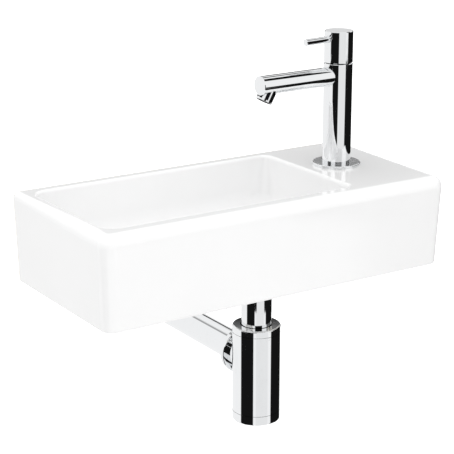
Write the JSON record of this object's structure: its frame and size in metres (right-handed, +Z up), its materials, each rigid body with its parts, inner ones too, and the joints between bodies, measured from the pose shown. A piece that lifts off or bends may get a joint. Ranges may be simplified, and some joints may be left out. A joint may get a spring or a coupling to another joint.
{
  "type": "wall hung basin",
  "caption": "Small rectangular wall hung hand basin in white glazed ceramic with a side tap deck, chrome pillar tap with pin lever, open waste and chrome bottle trap.",
  "frame": {"origin": "on the wall plane, midway between the two wall bolts", "axes": "+X to the tap end, +Y into the wall, +Z up"},
  "size_m": [0.3996, 0.3056, 0.405],
  "materials": {
    "white_glaze": "gloss",
    "chrome": "polished",
    "brass": "machined",
    "zinc_steel": "zinc plated",
    "black_rubber": "matte",
    "white_plastic": "moulded",
    "valve_ceramic": "lapped",
    "grey_plastic": "moulded"
  },
  "bodies": {
    "basin_and_tap": {"basin": "white_glaze", "wall_bolts": "zinc_steel", "fixing_sleeves": "white_plastic", "fixing_washers": "zinc_steel", "fixing_nuts": "zinc_steel", "tap_rosette": "chrome", "rosette_seal": "black_rubber", "tap_column": "chrome", "spout_tube": "chrome", "spout_end_plug": "chrome", "aerator_housing": "chrome", "aerator_insert": "grey_plastic", "aerator_seal": "black_rubber", "cartridge_body": "brass", "cartridge_seal": "black_rubber", "fixed_disc": "valve_ceramic", "tap_shank": "brass", "shank_rubber_washer": "black_rubber", "shank_steel_washer": "zinc_steel", "shank_backnut": "brass", "waste_body": "chrome", "waste_grid": "chrome", "waste_grid_screw": "chrome", "waste_top_seal": "black_rubber", "waste_bottom_seal": "black_rubber", "waste_slip_washer": "white_plastic", "waste_backnut": "grey_plastic", "inlet_nut": "chrome", "inlet_gasket": "black_rubber", "inlet_pipe": "chrome"},
    "handle": {"handle_cap": "chrome", "lever_pin": "chrome", "cap_screw": "zinc_steel", "spindle": "brass", "turning_disc": "valve_ceramic"},
    "trap_neck": {"bottle_cap": "chrome", "bottle_cap_seal": "black_rubber"},
    "bottle": {"bottle_body": "chrome", "outlet_nut": "chrome", "outlet_seal": "black_rubber", "wall_pipe": "chrome"},
    "cleaning_end": {"cleaning_cap": "chrome", "cleaning_cap_ring": "black_rubber"}
  },
  "joints": [
    {"name": "handle_turn", "type": "hinge", "parent": "basin_and_tap", "child": "handle", "pos_m": [0.1354, -0.0825, 0.203], "axis": [0, 0, 1], "range_deg": [0, 90]},
    {"name": "trap_height", "type": "slide", "parent": "basin_and_tap", "child": "trap_neck", "axis": [0, 0, -1], "range_m": [-0.015, 0.03]},
    {"name": "trap_swivel", "type": "hinge", "parent": "trap_neck", "child": "bottle", "pos_m": [0.0313, -0.088, -0.122], "axis": [0, 0, 1], "range_deg": [-60, 60]},
    {"name": "cleaning_cap_off", "type": "slide", "parent": "bottle", "child": "cleaning_end", "axis": [0, 0, -1], "range_m": [0, 0.04]}
  ]
}
